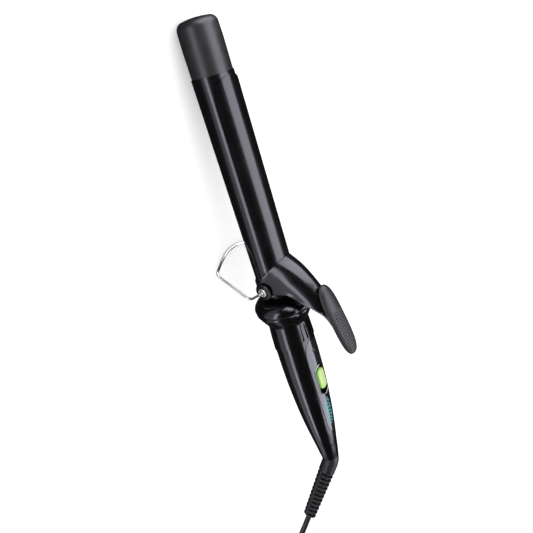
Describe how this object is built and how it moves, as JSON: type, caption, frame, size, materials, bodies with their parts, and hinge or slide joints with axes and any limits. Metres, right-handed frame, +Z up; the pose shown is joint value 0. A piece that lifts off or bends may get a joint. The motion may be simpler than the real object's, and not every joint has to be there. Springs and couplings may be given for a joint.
{
  "type": "curling iron",
  "caption": "Spring-clip curling iron with a round barrel, cool tip, thumb lever, wire stand, tapered handle with slide switch, and a swivel cord wound in a coil.",
  "frame": {"origin": "on the table under the middle of the iron's own bounding box, without its cord", "axes": "+X towards the cool tip, +Y across to the iron's left when the clip is up, +Z up from the table; the iron rests on its wire stand and the lower edge of the cool tip, 8.3 degrees tip down"},
  "size_m": [0.747, 0.1056, 0.1171],
  "materials": {
    "charcoal_plastic": "matte charcoal heat-resistant plastic",
    "black_enamel": "gloss black ceramic-look coating",
    "gloss_black": "gloss black moulded plastic",
    "dark_plastic": "satin black moulded plastic",
    "pad_grey": "matte grey soft-touch plastic",
    "chrome": "bright chrome plate",
    "black_steel": "black oxide steel",
    "spring_steel": "plain spring steel",
    "aluminium": "extruded, as made",
    "ceramic": "fired ceramic heater",
    "film": "amber insulating film",
    "brass": "plain",
    "component": "moulded components",
    "lead_wire": "silicone-covered wire",
    "board": "glass-fibre circuit board",
    "inlay_black": "gloss dark grey inlay",
    "lime": "lime green moulded plastic",
    "lens_red": "dull red tinted lens",
    "cord_rubber": "satin black flexible PVC",
    "blade_metal": "plain"
  },
  "bodies": {
    "iron": {"cool_tip": "charcoal_plastic", "tip_plug": "dark_plastic", "barrel_tube": "black_enamel", "barrel_end_plate": "black_steel", "heater_carrier_upper": "aluminium", "heater_carrier_lower": "aluminium", "heating_element": "ceramic", "insulation_film": "film", "thermistor": "ceramic", "thermal_fuse": "component", "heater_leads": "lead_wire", "pivot_bracket": "black_steel", "pivot_eyelets": "chrome", "clip_spring": "spring_steel", "neck_sleeve": "black_steel", "collar_shield": "gloss_black", "collar_ring": "dark_plastic", "collar_base": "gloss_black", "handle_band": "gloss_black", "handle_shell": "gloss_black", "handle_cover": "gloss_black", "handle_screws": "black_steel", "handle_end_ring": "gloss_black", "control_inlay": "inlay_black", "switch_bezel": "gloss_black", "control_board": "board", "board_parts": "component", "indicator_lamp": "lens_red", "lamp_lens": "lens_red", "switch_body": "dark_plastic", "supply_leads": "lead_wire", "contact_block": "dark_plastic", "contact_sleeve": "brass"},
    "clip": {"clip_spoon": "black_enamel", "clip_lever": "black_enamel", "thumb_pad": "pad_grey"},
    "stand": {"stand_wire": "chrome"},
    "switch": {"switch_slider": "dark_plastic", "switch_button": "lime"},
    "cord": {"swivel_stem": "cord_rubber", "strain_relief": "cord_rubber", "cord_lead": "cord_rubber", "cord_coil": "cord_rubber", "cord_tail": "cord_rubber", "cord_tie": "cord_rubber", "plug_body": "cord_rubber", "plug_blades": "blade_metal"}
  },
  "joints": [
    {"name": "clip_hinge", "type": "hinge", "parent": "iron", "child": "clip", "pos_m": [-0.0016, 0, 0.04418], "axis": [0, -1, 0], "range_deg": [0, 25], "stiffness_Nm_per_rad": 0.6, "springref_deg": -20.05, "deforming": ["clip_spring"]},
    {"name": "stand_hinge", "type": "hinge", "parent": "iron", "child": "stand", "pos_m": [-0.0016, 0, 0.04418], "axis": [0, 1, 0], "range_deg": [-29, 30]},
    {"name": "switch_slide", "type": "slide", "parent": "iron", "child": "switch", "axis": [-0.9895, 0, 0.1442], "range_m": [0, 0.003]},
    {"name": "cord_swivel", "type": "hinge", "parent": "iron", "child": "cord", "pos_m": [-0.19951, 0, 0.07303], "axis": [-0.9895, 0, 0.1442], "continuous": true}
  ]
}
